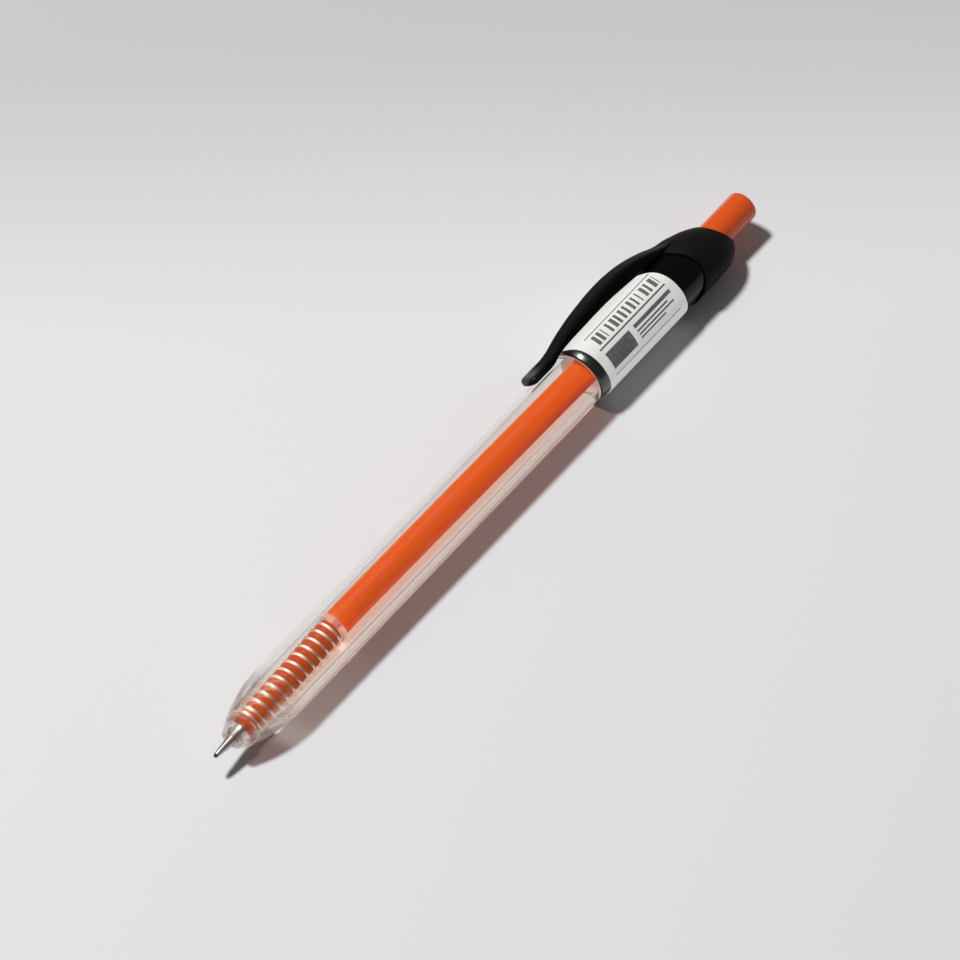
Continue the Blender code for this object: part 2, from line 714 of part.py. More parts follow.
def pen_axis(home):
    """The empty that lays the pen down, with its box centred over the origin and its collar on the ground."""
    lean = Matrix(
        (
            (0.0, 0.0, 1.0),
            (math.sin(CLIP_LEAN), -math.cos(CLIP_LEAN), 0.0),
            (math.cos(CLIP_LEAN), math.sin(CLIP_LEAN), 0.0),
        )
    )
    flat = COLLAR_RADIUS * math.cos(math.pi / RESTING_SIDES)
    reach = max((lean @ point).y for section in arm_sections() for point in section)
    axis = bpy.data.objects.new("pen_axis", None)
    home.objects.link(axis)
    axis.matrix_world = Matrix.Translation((-BUTTON_END_STATION / 2, (flat - reach) / 2, flat)) @ lean.to_4x4()
    return axis


def main():
    clear_scene()
    pieces = collection("retractable_gel_pen")
    helpers = collection("cutters")
    axis = pen_axis(pieces)
    build_point(pieces, axis)
    build_holder(pieces, axis)
    build_ink(pieces, axis)
    build_spring(pieces, axis)
    build_clear_barrel(pieces, axis)
    build_upper_barrel(pieces, axis)
    build_label(pieces, axis)
    build_cam_sleeve(pieces, axis)
    build_cam_rotor(pieces, axis)
    build_button(pieces, axis)
    build_clip(pieces, helpers, axis)


main()
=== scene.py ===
"""Retractable gel pen: the looks of each piece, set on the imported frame, and a pale studio stage."""

import math

import bmesh
import bpy
from bpy.props import FloatProperty, FloatVectorProperty, IntProperty, PointerProperty
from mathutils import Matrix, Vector


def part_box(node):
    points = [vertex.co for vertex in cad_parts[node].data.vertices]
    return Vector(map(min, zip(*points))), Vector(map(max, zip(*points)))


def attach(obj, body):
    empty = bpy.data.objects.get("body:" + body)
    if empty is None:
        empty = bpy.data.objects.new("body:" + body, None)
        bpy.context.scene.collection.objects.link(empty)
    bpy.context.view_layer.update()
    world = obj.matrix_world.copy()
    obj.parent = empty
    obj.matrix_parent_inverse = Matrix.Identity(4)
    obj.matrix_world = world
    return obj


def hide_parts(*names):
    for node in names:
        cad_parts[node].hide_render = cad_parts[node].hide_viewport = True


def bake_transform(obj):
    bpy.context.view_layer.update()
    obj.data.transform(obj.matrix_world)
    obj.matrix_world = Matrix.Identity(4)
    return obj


bl_info = {
    "name": "Retractable Gel Pen",
    "version": (1, 0, 0),
    "blender": (4, 5, 0),
    "location": "View3D > Sidebar > Pen",
    "description": "Builds a clear-barrelled click pen piece by piece, and its stage",
    "category": "Object",
}

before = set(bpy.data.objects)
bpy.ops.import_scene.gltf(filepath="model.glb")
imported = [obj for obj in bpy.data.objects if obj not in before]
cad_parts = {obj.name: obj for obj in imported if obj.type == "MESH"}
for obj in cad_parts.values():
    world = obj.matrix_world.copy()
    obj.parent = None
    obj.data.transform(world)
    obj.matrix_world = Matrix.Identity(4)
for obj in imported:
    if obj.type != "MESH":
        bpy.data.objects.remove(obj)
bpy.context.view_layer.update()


def span(name):
    """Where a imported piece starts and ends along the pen."""
    low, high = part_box(name)
    return low.x, high.x


# The pen's axis, and where its pieces start and end along it
TUBE_LOW, TUBE_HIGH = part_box("ink_tube")
AXIS_Y = (TUBE_LOW.y + TUBE_HIGH.y) / 2
AXIS_Z = (TUBE_LOW.z + TUBE_HIGH.z) / 2
TUBE_TAIL = TUBE_HIGH.x
BARREL_FRONT, BARREL_TAIL = span("clear_barrel")
UPPER_FRONT, UPPER_TAIL = span("upper_barrel")
LABEL_FRONT, LABEL_TAIL = span("label")
HOLDER_FRONT, HOLDER_TAIL = span("tip_holder")
SPRING_FRONT, SPRING_TAIL = span("return_spring")
BUTTON_CROWN, BUTTON_END = span("push_button")
BALL_FRONT = span("tip_ball")[0]
CONE_TAIL = span("tip_cone")[1]
ARM_TIP = span("clip")[0]
SLEEVE_FRONT = span("cam_sleeve")[0]

# Fits: between faces that meet end to end, round a push fit, and from the clear barrel's outside to its tenon
FACE_GAP = 0.00025
SLIP = 0.00008
TENON_STEP = 0.00055
# The upper barrel's tenon in the collar
REAR_TENON_RADIUS = 0.00458
REAR_TENON_LENGTH = 0.0021

# Edges sharper than this stay crisp
CRISP = math.radians(38.0)

# Ways that patterns follow: along the pen, across it to the floor in front, across the lamp's light, and
# towards the lamp
ALONG = (1.0, 0.0, 0.0)
LOWER_SIDE = (0.0, -0.914, -0.405)
ACROSS_LIGHT = (0.0, 0.925, -0.379)
TOWARDS_LIGHT = (0.0, 0.379, 0.925)

# The clip arm from its root to its ball: distance from the tip, underside over the upper barrel, thickness
# and width
ARM_PROFILE = (
    (0.0400, -0.00045, 0.00040, 0.0030),
    (0.0389, 0.00011, 0.00010, 0.0030),
    (0.0367, 0.00011, 0.00050, 0.0038),
    (0.0335, 0.00021, 0.00160, 0.0045),
    (0.0295, 0.00037, 0.00254, 0.0048),
    (0.0255, 0.00068, 0.00277, 0.0048),
    (0.0217, 0.00095, 0.00255, 0.0047),
    (0.0179, 0.00097, 0.00228, 0.0045),
    (0.0141, 0.00085, 0.00203, 0.0040),
    (0.0104, 0.00072, 0.00150, 0.0036),
    (0.0079, 0.00045, 0.00110, 0.0035),
    (0.0059, -0.00010, 0.00138, 0.0036),
    (0.0037, -0.00015, 0.00140, 0.0038),
    (0.0014, -0.00013, 0.00138, 0.0039),
)


def linear(hex_text):
    """A colour written as sRGB hex, in the linear values that a socket takes."""
    parts = [int(hex_text[i : i + 2], 16) / 255 for i in (1, 3, 5)]
    return tuple(p / 12.92 if p <= 0.04045 else ((p + 0.055) / 1.055) ** 2.4 for p in parts)


def length(name, description, default):
    return FloatProperty(name=name, description=description, default=default, unit="LENGTH", precision=5)


def colour(name, description, default):
    return FloatVectorProperty(
        name=name, description=description, default=linear(default), subtype="COLOR", size=3, min=0.0, max=1.0
    )


class PenSizes(bpy.types.PropertyGroup):
    clip_lean: FloatProperty(
        name="Clip lean",
        description="How far the clip leans from straight up",
        default=math.radians(43.0),
        subtype="ANGLE",
    )
    barrel_radius: length("Barrel radius", "Outside of the clear barrel", 0.0050)
    bore_radius: length("Bore radius", "Inside of the clear barrel", 0.0037)
    nose_radius: length("Nose radius", "Outside of the nose at its flat front rim", 0.00185)
    nose_length: length("Nose length", "Length of the barrel's rounded nose", 0.0124)
    upper_radius: length("Upper barrel radius", "Outside of the dark upper barrel", 0.00535)
    tube_radius: length("Tube radius", "Outside of the refill tube", 0.0024)
    holder_radius: length("Holder radius", "Outside of the holder inside the spring", 0.00226)
    refill_bow: length("Refill bow", "How far the refill bows to the side inside the barrel", 0.00074)
    spring_radius: length("Spring radius", "Radius to the middle of the wire", 0.00256)
    wire: length("Spring wire", "Diameter of the spring wire", 0.00046)
    turns: IntProperty(name="Spring turns", description="Curls from end to end", default=13, min=4, max=40)
    button_radius: length("Button radius", "Outside of the push button", 0.0028)
    collar_radius: length("Collar radius", "Outside of the clip collar", 0.0057)
    collar_slant: FloatProperty(name="Collar slant", description="Slope of the collar's back", default=0.52)
    arch_radius: length("Arch radius", "Curve of the collar's front edge", 0.0070)
    label_radius: length("Label radius", "Outside of the wrap label", 0.0055)
    label_lead: length("Label lead", "How far the label's edges run forward under the clip", 0.0017)


class PenColours(bpy.types.PropertyGroup):
    refill: colour("Refill", "Ink seen through the refill tube", "#C05216")
    holder: colour("Holder", "Holder filled with ink", "#98401E")
    button: colour("Button", "Push button", "#E45A1A")
    black: colour("Black", "Upper barrel and clip", "#080807")
    paper: colour("Label", "Label film", "#F0EFEC")
    print: colour("Label print", "Plain rules and bars on the label", "#4A4A46")
    clear: colour("Clear plastic", "Tint of the clear barrel", "#F7F5F2")
    steel: colour("Steel", "Spring wire", "#F0E9DC")
    silver: colour("Point metal", "Turned point", "#CBC7BF")


class StageSettings(bpy.types.PropertyGroup):
    floor: colour("Floor", "Pale floor", "#E3E2E3")
    far_floor: colour("Far floor", "Floor away from the camera, where less light falls", "#C6C5C7")
    key: FloatProperty(name="Key lamp", description="Power of the high soft lamp", default=24.2, unit="POWER")
    key_size: length("Key lamp size", "Diameter of the high soft lamp", 0.22)
    key_distance: length("Key lamp distance", "From the middle of the pen to the lamp", 1.6)
    fill: FloatProperty(name="Fill", description="Strength of the even light all round", default=0.12)
    lens: FloatProperty(name="Lens", description="Focal length in millimetres", default=295.0)
    distance: length("Camera distance", "From the middle of the pen to the camera", 1.3)


def sizes():
    return bpy.context.scene.pen_sizes


def colours():
    return bpy.context.scene.pen_colours


# Materials


def node(tree, kind, settings=None, **inputs):
    """Add a node with its settings, and set or link its inputs, by name or as i and a number.

    A node that is given as an input stands for its first output.
    """
    made = tree.nodes.new(kind)
    for key, value in (settings or {}).items():
        setattr(made, key, value)
    for key, value in inputs.items():
        socket = made.inputs[int(key[1:])] if key[1:].isdigit() else made.inputs[key.replace("_", " ")]
        if isinstance(value, bpy.types.Node):
            value = value.outputs[0]
        if isinstance(value, bpy.types.NodeSocket):
            tree.links.new(value, socket)
        else:
            socket.default_value = value
    return made


def shader(name, tone, roughness, **inputs):
    """A material with one Principled shader, and the tree to add its detail to."""
    made = bpy.data.materials.new(name)
    made.use_nodes = True
    surface = made.node_tree.nodes["Principled BSDF"]
    surface.inputs["Base Color"].default_value = (*tone, 1.0)
    surface.inputs["Roughness"].default_value = roughness
    for key, value in inputs.items():
        surface.inputs[key.replace("_", " ")].default_value = value
    return made, made.node_tree, surface


def grain(tree, surface, grit, low, high, bump, stretch=(1.0, 1.0, 1.0)):
    """Uneven gloss and a faint relief, with spots of about grit metres."""
    place = node(tree, "ShaderNodeTexCoord").outputs["Object"]
    spread = node(tree, "ShaderNodeMapping", i0=place, Scale=stretch)
    spots = node(tree, "ShaderNodeTexNoise", i0=spread, Scale=1.0 / grit, Detail=3.0, Roughness=0.6)
    gloss = node(tree, "ShaderNodeMapRange", i0=spots, i3=low, i4=high)
    tree.links.new(gloss.outputs["Result"], surface.inputs["Roughness"])
    relief = node(tree, "ShaderNodeBump", Strength=bump, Distance=grit * 0.2, Height=spots)
    tree.links.new(relief.outputs["Normal"], surface.inputs["Normal"])
    return spots


def tone_drift(tree, surface, share, tone, deeper):
    """The colour drifts a little between two close tones."""
    mixed = node(tree, "ShaderNodeMix", {"data_type": "RGBA"}, i0=share, i6=(*tone, 1.0), i7=(*deeper, 1.0))
    tree.links.new(mixed.outputs[2], surface.inputs["Base Color"])


def measure(tree, way, low, high, first=0.0, last=1.0):
    """A value that runs from first to last between two distances in metres along a way.

    Across the pen they count from its axis, and along it from the frame's origin.
    """
    place = node(tree, "ShaderNodeTexCoord").outputs["Object"]
    at = node(tree, "ShaderNodeVectorMath", {"operation": "DOT_PRODUCT"}, i0=place, i1=way).outputs["Value"]
    middle = AXIS_Y * way[1] + AXIS_Z * way[2]
    return node(tree, "ShaderNodeMapRange", i0=at, i1=middle + low, i2=middle + high, i3=first, i4=last)


def bands(tree, share, stops):
    """Colours along a share from 0 to 1, even before the first stop and after the last."""
    made = node(tree, "ShaderNodeValToRGB", Fac=share)
    ends = made.color_ramp.elements
    ends[0].color, ends[1].color = (*stops[0][1], 1.0), (*stops[-1][1], 1.0)
    for at, tone in stops:
        made.color_ramp.elements.new(at).color = (*tone, 1.0)
    return made


def clear_polystyrene(name, gathers):
    # Crystal polystyrene, injection moulded and polished: clear as glass, with hard bright edges.
    # Light goes straight through it to other pieces. Its round outside gathers light, which falls in bands
    # below.
    made, tree, surface = shader(name, colours().clear, 0.015, Transmission_Weight=1.0, IOR=1.46)
    surface.inputs["Specular Tint"].default_value = (*linear("#6C6C6C"), 1.0)
    path = node(tree, "ShaderNodeLightPath").outputs
    tint = (1.0, 1.0, 1.0, 1.0)
    if gathers:
        shade, bright, warm, pale = (linear(tone) for tone in ("#7B5C54", "#FFFCFA", "#FFDACA", "#AC9C95"))
        across = measure(tree, ACROSS_LIGHT, -0.005, 0.005)
        fallen = bands(tree, across, ((0.407, shade), (0.417, bright), (0.465, bright), (0.495, warm)))
        # The front part strews a little light into the shade
        front = measure(tree, ALONG, BARREL_FRONT, BARREL_FRONT + 0.034)
        shares = ((0.17, 0.0), (0.24, 0.9), (0.30, 0.9), (0.38, 0.5), (0.58, 0.35), (0.95, 0.0))
        strewn = bands(tree, front, [(at, (share,) * 3) for at, share in shares])
        shaded = measure(tree, ACROSS_LIGHT, -0.00083, -0.00093)
        paler = node(tree, "ShaderNodeMath", {"operation": "MULTIPLY"}, i0=shaded, i1=strewn)
        mixed = node(tree, "ShaderNodeMix", {"data_type": "RGBA"}, i0=paler, i6=fallen, i7=(*pale, 1.0))
        # Light is tinted once, on its way out below, and the nose spreads it instead
        upper = measure(tree, TOWARDS_LIGHT, -0.0002, 0.0002)
        sunlit = measure(tree, ACROSS_LIGHT, -0.0004, -0.0002)
        nose = measure(tree, ALONG, BARREL_FRONT + 0.004, BARREL_FRONT + 0.012, 1.0, 0.0)
        spread = node(tree, "ShaderNodeMath", {"operation": "MULTIPLY"}, i0=sunlit, i1=nose)
        plain = node(tree, "ShaderNodeMath", {"operation": "MAXIMUM"}, i0=upper, i1=spread)
        tinted = mixed.outputs[2]
        tint = node(tree, "ShaderNodeMix", {"data_type": "RGBA"}, i0=plain, i6=tinted, i7=tint).outputs[2]
    bounced = path["Is Diffuse Ray"]
    dimming = {"data_type": "RGBA", "blend_type": "MULTIPLY"}
    dimmed = node(tree, "ShaderNodeMix", dimming, i0=bounced, i6=tint, i7=(*linear("#E7E7E7"), 1.0))
    passed = node(tree, "ShaderNodeBsdfTransparent", Color=dimmed.outputs[2])
    # The nose's tip bends what lies behind it less
    thin = measure(tree, ALONG, BALL_FRONT + 0.0125, BALL_FRONT + 0.0175, 0.3, 0.0)
    unbent = node(tree, "ShaderNodeBsdfTransparent", Color=(1.0, 1.0, 1.0, 1.0))
    wall = node(tree, "ShaderNodeMixShader", i0=thin, i1=surface, i2=unbent)
    straight = node(tree, "ShaderNodeMath", {"operation": "MAXIMUM"}, i0=path["Is Shadow Ray"], i1=bounced)
    both = node(tree, "ShaderNodeMixShader", i0=straight, i1=wall, i2=passed)
    tree.links.new(both.outputs[0], tree.nodes["Material Output"].inputs["Surface"])
    return made


def black_polycarbonate():
    # Black polycarbonate from a polished mould: deep gloss, with a faint orange-peel about 1.5 mm wide.
    # The bare edge in front of the label is buffed brighter.
    made, tree, surface = shader(
        "black_polycarbonate",
        colours().black,
        0.16,
        IOR=1.58,
        Specular_IOR_Level=0.14,
        Coat_IOR=1.8,
        Coat_Roughness=0.3,
    )
    grain(tree, surface, 0.0015, 0.12, 0.20, 0.02)
    buffed = measure(tree, ALONG, LABEL_FRONT, LABEL_FRONT + 0.0004, 1.0, 0.0)
    tree.links.new(buffed.outputs["Result"], surface.inputs["Coat Weight"])
    return made


def frosted_polystyrene():
    # The barrel's screwed end inside the upper barrel: rough clear threads, with a painted glow (emission) that
    # stands in for light the clear wall carries to them.
    made, tree, surface = shader("frosted_polystyrene", linear("#7C6C66"), 0.6, IOR=1.46)
    # Painted glow: emission standing in for light carried in by the clear wall
    surface.inputs["Emission Color"].default_value = (*linear("#AA938D"), 1.0)
    surface.inputs["Emission Strength"].default_value = 1.0
    grain(tree, surface, 0.0006, 0.5, 0.7, 0.05)
    return made


def black_acetal():
    # Black acetal from a blasted mould: satin, with a fine even grit of about 0.3 mm drawn coarse to show.
    # Its ball end is polished by use, and its collar is painted a little paler as a painted sheen for the
    # reflections it shows. The arm casts no shadow on what lies close under it, where light comes round.
    made, tree, surface = shader(
        "black_acetal",
        colours().black,
        0.34,
        IOR=1.48,
        Specular_IOR_Level=0.05,
        Coat_IOR=1.48,
        Coat_Roughness=0.24,
    )
    grain(tree, surface, 0.0003, 0.48, 0.62, 0.06)
    worn = measure(tree, ALONG, ARM_TIP + 0.002, ARM_TIP + 0.004, 0.8, 0.0)
    tree.links.new(worn.outputs["Result"], surface.inputs["Coat Weight"])
    # Painted sheen: the collar is painted a little paler than the arm, for the reflections it shows
    collar = measure(tree, ALONG, ARM_TIP + 0.031, ARM_TIP + 0.037)
    tone_drift(tree, surface, collar, colours().black, linear("#181715"))
    path = node(tree, "ShaderNodeLightPath").outputs
    near = node(tree, "ShaderNodeMath", {"operation": "LESS_THAN"}, i0=path["Ray Length"], i1=0.014)
    arm = node(tree, "ShaderNodeMath", {"operation": "LESS_THAN"}, i0=collar, i1=1e-6)
    close = node(tree, "ShaderNodeMath", {"operation": "MULTIPLY"}, i0=near, i1=arm)
    let = node(tree, "ShaderNodeMath", {"operation": "MULTIPLY"}, i0=close, i1=path["Is Shadow Ray"])
    open_air = node(tree, "ShaderNodeBsdfTransparent", Color=(1.0, 1.0, 1.0, 1.0))
    both = node(tree, "ShaderNodeMixShader", i0=let, i1=surface, i2=open_air)
    tree.links.new(both.outputs[0], tree.nodes["Material Output"].inputs["Surface"])
    return made


def orange_abs():
    # Orange ABS, injection moulded: strong flat colour under a glossy skin with slight flow marks.
    made, tree, surface = shader("orange_abs", colours().button, 0.22, IOR=1.53)
    spots = grain(tree, surface, 0.002, 0.18, 0.28, 0.02)
    tone_drift(tree, surface, spots, colours().button, linear("#D94E1A"))
    return made


# Light spreads about 3 mm inside a thin milky wall full of orange ink, red furthest
INKY = {"Subsurface_Weight": 1.0, "Subsurface_Radius": (1.0, 0.45, 0.2), "Subsurface_Scale": 0.003}


def ink_in_tube():
    # Orange gel seen through a smooth polypropylene tube: even colour with a soft sheen and faint streaks.
    # A painted glow on the ink, strongest on the lower side, stands in for light that the barrel gathers there.
    made, tree, surface = shader(
        "ink_in_polypropylene_tube", colours().refill, 0.25, IOR=1.49, Specular_IOR_Level=0.25, **INKY
    )
    # Painted glow tones, weak on the upper side and strongest towards the lower side
    low, high, edge = (linear(tone) for tone in ("#7D3D10", "#AD4412", "#73270A"))
    across = measure(tree, LOWER_SIDE, -0.0024, 0.0024)
    painted_glow = bands(tree, across, ((0.35, low), (0.76, high), (0.92, edge)))
    tree.links.new(painted_glow.outputs["Color"], surface.inputs["Emission Color"])
    surface.inputs["Emission Strength"].default_value = 1.0
    spots = grain(tree, surface, 0.0016, 0.22, 0.34, 0.0, stretch=(0.08, 1.0, 1.0))
    tone_drift(tree, surface, spots, colours().refill, linear("#B84A14"))
    return made


def ink_in_holder():
    # Natural polypropylene holder filled with orange ink: darker and milkier than the tube.
    made, tree, surface = shader(
        "ink_filled_polypropylene", colours().holder, 0.3, IOR=1.49, Specular_IOR_Level=0.2, **INKY
    )
    # Painted glow: an even orange emission that stands in for light the clear barrel gathers onto the holder
    surface.inputs["Emission Color"].default_value = (*linear("#DA5B19"), 1.0)
    surface.inputs["Emission Strength"].default_value = 0.34
    spots = grain(tree, surface, 0.0012, 0.25, 0.38, 0.02)
    tone_drift(tree, surface, spots, colours().holder, linear("#8C361C"))
    return made


def natural_polypropylene():
    # Unfilled polypropylene: milky and translucent, with a soft sheen.
    made, tree, surface = shader(
        "natural_polypropylene", linear("#F1EDE6"), 0.2, IOR=1.49, Transmission_Weight=0.75
    )
    grain(tree, surface, 0.0012, 0.14, 0.24, 0.02)
    return made


def spring_steel():
    # Drawn spring wire: bright, with fine drawing lines that soften its highlights. A pale glow on its upper
    # side stands for the light that the clear wall gathers there.
    made, tree, surface = shader("drawn_spring_steel", colours().steel, 0.2, Metallic=1.0)
    grain(tree, surface, 0.0004, 0.16, 0.24, 0.02)
    dark, dim, light = (linear(tone) for tone in ("#000000", "#6F6559", "#C5BCAD"))
    across = measure(tree, LOWER_SIDE, -0.0028, 0.0028)
    painted_glow = bands(tree, across, ((0.04, dim), (0.14, light), (0.33, light), (0.47, dim), (0.62, dark)))
    tree.links.new(painted_glow.outputs["Color"], surface.inputs["Emission Color"])
    surface.inputs["Emission Strength"].default_value = 1.0
    return made


def nickel_silver():
    # Turned nickel silver: fine rings from the lathe, about 0.12 mm apart, drawn coarse to show.
    made, tree, surface = shader("turned_nickel_silver", colours().silver, 0.2, Metallic=1.0)
    grain(tree, surface, 0.00012, 0.28, 0.36, 0.02, stretch=(1.0, 0.05, 0.05))
    return made


def tungsten_carbide():
    # Ground carbide ball: grey, polished by writing.
    made, tree, surface = shader("ground_tungsten_carbide", linear("#8C8C8E"), 0.15, Metallic=1.0)
    grain(tree, surface, 0.0001, 0.10, 0.22, 0.02)
    return made


def moulded_acetal():
    # Natural acetal as moulded: off-white and slightly waxy.
    made, tree, surface = shader("natural_acetal", linear("#E2E1DC"), 0.4, IOR=1.48)
    spots = grain(tree, surface, 0.0008, 0.35, 0.48, 0.04)
    tone_drift(tree, surface, spots, linear("#E2E1DC"), linear("#D6D4CC"))
    return made


def clear_grease():
    # Follower grease behind the ink: clear and slightly yellow.
    made, tree, surface = shader("clear_grease", linear("#E9E2C6"), 0.2, IOR=1.46, Transmission_Weight=0.6)
    grain(tree, surface, 0.0015, 0.15, 0.28, 0.03)
    return made


def gel_ink():
    # Pigmented gel: dense orange with a wet look.
    made, tree, surface = shader("orange_gel_ink", colours().refill, 0.2, IOR=1.4)
    spots = grain(tree, surface, 0.0015, 0.15, 0.28, 0.02)
    tone_drift(tree, surface, spots, colours().refill, linear("#B84A14"))
    return made


def printed_film():
    # White polypropylene film printed in dark grey: rules, a row of bars and plain blocks, in millimetres on
    # its UV map.
    made, tree, surface = shader("printed_polypropylene_film", colours().paper, 0.42, IOR=1.49)
    place = node(tree, "ShaderNodeUVMap", {"uv_map": "print"})
    split = node(tree, "ShaderNodeSeparateXYZ", Vector=place).outputs
    # Strokes of uneven width, 0.85 of them to a millimetre
    steps = node(tree, "ShaderNodeMath", {"operation": "MULTIPLY"}, i0=split["X"], i1=0.85)
    cell = node(tree, "ShaderNodeMath", {"operation": "FLOOR"}, i0=steps)
    within = node(tree, "ShaderNodeMath", {"operation": "FRACT"}, i0=steps)
    luck = node(tree, "ShaderNodeTexWhiteNoise", {"noise_dimensions": "1D"}, W=cell)
    width = node(tree, "ShaderNodeMath", {"operation": "MULTIPLY_ADD"}, i0=luck, i1=0.5, i2=0.2)
    strokes = node(tree, "ShaderNodeMath", {"operation": "LESS_THAN"}, i0=within, i1=width)
    # Each block's middle along and round the label, and its half width each way; the strokes fill the first
    ink = None
    for x, y, half_x, half_y in (
        (10.4, 4.3, 8.6, 1.05),
        (10.4, 6.0, 8.9, 0.16),
        (4.9, 8.6, 3.2, 1.6),
        (14.2, 7.35, 4.9, 0.34),
        (13.4, 8.3, 4.1, 0.16),
        (14.0, 9.0, 4.7, 0.16),
        (12.7, 9.7, 3.4, 0.16),
        (10.4, 2.6, 8.9, 0.10),
        (10.4, 11.4, 8.9, 0.10),
    ):
        wide = node(tree, "ShaderNodeMath", {"operation": "COMPARE"}, i0=split["X"], i1=x, i2=half_x)
        high = node(tree, "ShaderNodeMath", {"operation": "COMPARE"}, i0=split["Y"], i1=y, i2=half_y)
        block = node(tree, "ShaderNodeMath", {"operation": "MULTIPLY"}, i0=wide, i1=high)
        joined = {"operation": "MAXIMUM" if ink else "MULTIPLY"}
        ink = node(tree, "ShaderNodeMath", joined, i0=ink or strokes, i1=block)
    spots = grain(tree, surface, 0.0006, 0.36, 0.50, 0.02)
    rub = node(tree, "ShaderNodeMath", {"operation": "MULTIPLY_ADD"}, i0=spots, i1=0.25, i2=0.80)
    worn = node(tree, "ShaderNodeMath", {"operation": "MULTIPLY"}, i0=ink, i1=rub)
    tone_drift(tree, surface, worn, colours().paper, colours().print)
    # A painted glow on its lower side stands for light that the pale floor sends up to it; the floor gets none of
    # it back
    dark, light = linear("#000000"), linear("#7E7E7D")
    painted_glow = bands(tree, measure(tree, LOWER_SIDE, 0.0, 0.0055), ((0.10, dark), (0.62, light)))
    sent = node(tree, "ShaderNodeMix", {"data_type": "RGBA"}, i0=worn, i6=painted_glow, i7=(*dark, 1.0))
    back = node(tree, "ShaderNodeLightPath").outputs["Is Diffuse Ray"]
    strength = node(tree, "ShaderNodeMath", {"operation": "SUBTRACT"}, i0=1.0, i1=back)
    tree.links.new(sent.outputs[2], surface.inputs["Emission Color"])
    tree.links.new(strength.outputs[0], surface.inputs["Emission Strength"])
    made.cycles.emission_sampling = "NONE"
    return made


def matt_paper(stage):
    # Matt paper, with painted shade that makes it a little darker away from the camera.
    made, tree, surface = shader("matt_paper_floor", stage.floor, 0.9)
    place = node(tree, "ShaderNodeTexCoord").outputs["Object"]
    backwards = (0.716, 0.709, 0.0)
    away = node(tree, "ShaderNodeVectorMath", {"operation": "DOT_PRODUCT"}, i0=place, i1=backwards)
    smooth = {"interpolation_type": "SMOOTHSTEP"}
    # Painted shade: darker away from the camera
    painted_falloff = node(tree, "ShaderNodeMapRange", smooth, i0=away.outputs["Value"], i1=0.03, i2=0.11)
    tone_drift(tree, surface, painted_falloff, stage.floor, stage.far_floor)
    # A painted glow on the floor stands for light that the clear wall throws in front of it, and shows only
    # through the wall's lower edge
    split = node(tree, "ShaderNodeSeparateXYZ", Vector=place).outputs
    nose = measure(tree, ALONG, BARREL_FRONT, BARREL_FRONT + 0.011, -0.0028, 0.0)
    across = node(tree, "ShaderNodeMath", {"operation": "ADD"}, i0=split["Y"], i1=nose)
    thrown = node(tree, "ShaderNodeMapRange", i0=across, i1=AXIS_Y - 0.009, i2=AXIS_Y - 0.001)
    dark, light = linear("#000000"), linear("#B1A69D")
    painted_glow = bands(tree, thrown, ((0.15, dark), (0.25, light), (0.62, light), (0.75, dark)))
    middle, reach = (BARREL_FRONT + UPPER_FRONT) / 2, (UPPER_FRONT - BARREL_FRONT) / 2
    under = node(tree, "ShaderNodeMath", {"operation": "COMPARE"}, i0=split["X"], i1=middle, i2=reach)
    seen = node(tree, "ShaderNodeLightPath").outputs["Is Transmission Ray"]
    strength = node(tree, "ShaderNodeMath", {"operation": "MULTIPLY"}, i0=under, i1=seen)
    tree.links.new(painted_glow.outputs["Color"], surface.inputs["Emission Color"])
    tree.links.new(strength.outputs[0], surface.inputs["Emission Strength"])
    made.cycles.emission_sampling = "NONE"
    return made


# Shapes


def soften(outline, steps=5):
    """Round the corners of an outline of (x, radius, fillet) points."""
    points = []
    count = len(outline)
    for i, (x, r, fillet) in enumerate(outline):
        here = Vector((x, r))
        before = Vector(outline[i - 1][:2]) - here
        after = Vector(outline[(i + 1) % count][:2]) - here
        reach = min(fillet, before.length * 0.45, after.length * 0.45)
        if reach < 1e-7:
            points.append(here)
            continue
        start = here + before.normalized() * reach
        end = here + after.normalized() * reach
        for step in range(steps + 1):
            t = step / steps
            points.append(start * (1 - t) ** 2 + here * 2 * t * (1 - t) + end * t * t)
    return points


def on_pen(x, radius, angle):
    """A point round the pen's axis; the angle runs from straight up towards +Y."""
    return Vector((x, AXIS_Y + radius * math.sin(angle), AXIS_Z + radius * math.cos(angle)))


def finished_mesh(name, bm):
    """Close seams and poles, turn the faces outwards and shade them round."""
    bmesh.ops.remove_doubles(bm, verts=bm.verts, dist=2e-7)
    bmesh.ops.recalc_face_normals(bm, faces=bm.faces)
    mesh = bpy.data.meshes.new(name)
    bm.to_mesh(mesh)
    bm.free()
    mesh.shade_smooth()
    mesh.set_sharp_from_angle(angle=CRISP)
    return mesh


def lathe(name, outline, sides=144, ring=True):
    """Turn a closed outline of (x, radius) points round the pen's axis."""
    bm = bmesh.new()
    rows = []
    for side in range(sides):
        angle = 2 * math.pi * side / sides
        rows.append([bm.verts.new(on_pen(x, max(r, 0.0), angle)) for x, r in outline])
    spans = len(outline) if ring else len(outline) - 1
    for side in range(sides):
        here, there = rows[side], rows[(side + 1) % sides]
        for i in range(spans):
            j = (i + 1) % len(outline)
            bm.faces.new((here[i], here[j], there[j], there[i]))
    return finished_mesh(name, bm)


def piece(name, mesh, materials, body, slot, *nodes):
    """A finished piece that rides on a body and stands for CAD nodes."""
    made = bpy.data.objects.new(name, mesh)
    bpy.context.scene.collection.objects.link(made)
    for material in materials:
        mesh.materials.append(material)
    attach(made, body)
    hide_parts(*nodes)
    return made


def dress(name, material):
    """Give a CAD node that stays a better finish."""
    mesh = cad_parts[name].data
    mesh.materials.clear()
    mesh.materials.append(material)


